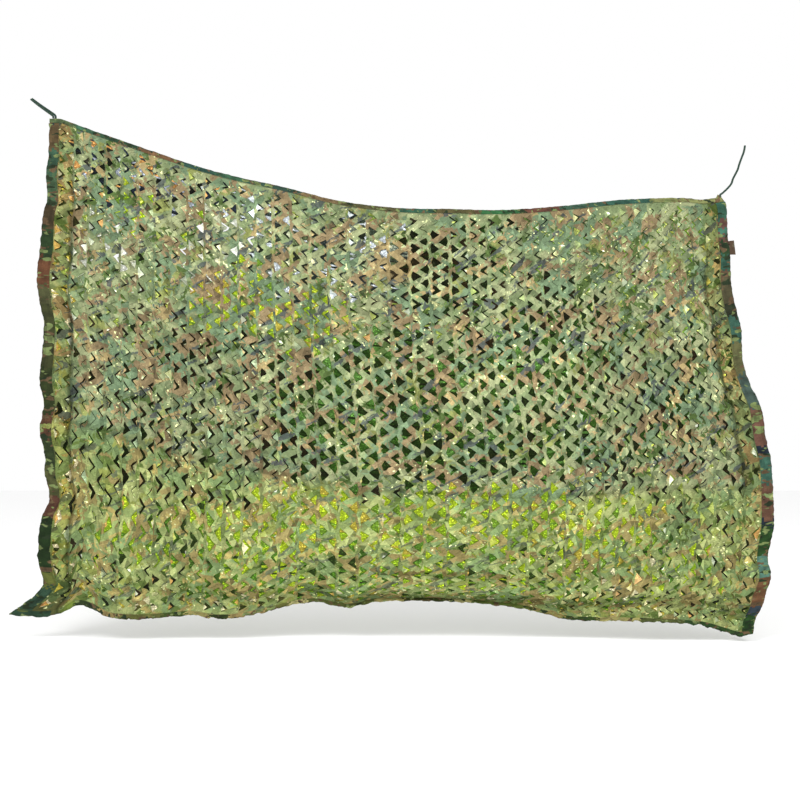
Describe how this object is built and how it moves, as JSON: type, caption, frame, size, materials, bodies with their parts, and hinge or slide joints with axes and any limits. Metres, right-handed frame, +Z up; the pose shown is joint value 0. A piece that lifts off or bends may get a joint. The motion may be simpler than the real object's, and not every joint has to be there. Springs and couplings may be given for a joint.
{
  "type": "camouflage net",
  "caption": "Rectangular die-cut camouflage net with taped edges, hanging from cord ties at its two top corners, its lower left corner drawn out.",
  "frame": {"origin": "middle of the top edge, where the heading hangs", "axes": "+X along the net to the viewer's right, +Y away from the viewer, +Z up"},
  "size_m": [3.1718, 0.17, 2.24],
  "materials": {
    "net_cloth": "thin woven polyester printed in sage green, tan and slate patches, die cut",
    "binding_tape": "woven tape printed in teal green, brown and near black",
    "tape_end": "woven tape, brown print",
    "tie_cord": "braided cord, dark teal green"
  },
  "bodies": {
    "root": {"net_panel": "net_cloth", "binding_top": "binding_tape", "binding_bottom": "binding_tape", "binding_left": "binding_tape", "binding_right": "binding_tape", "tape_tail": "tape_end", "tie_left_1": "tie_cord", "tie_left_2": "tie_cord", "tie_right": "tie_cord"}
  },
  "joints": []
}
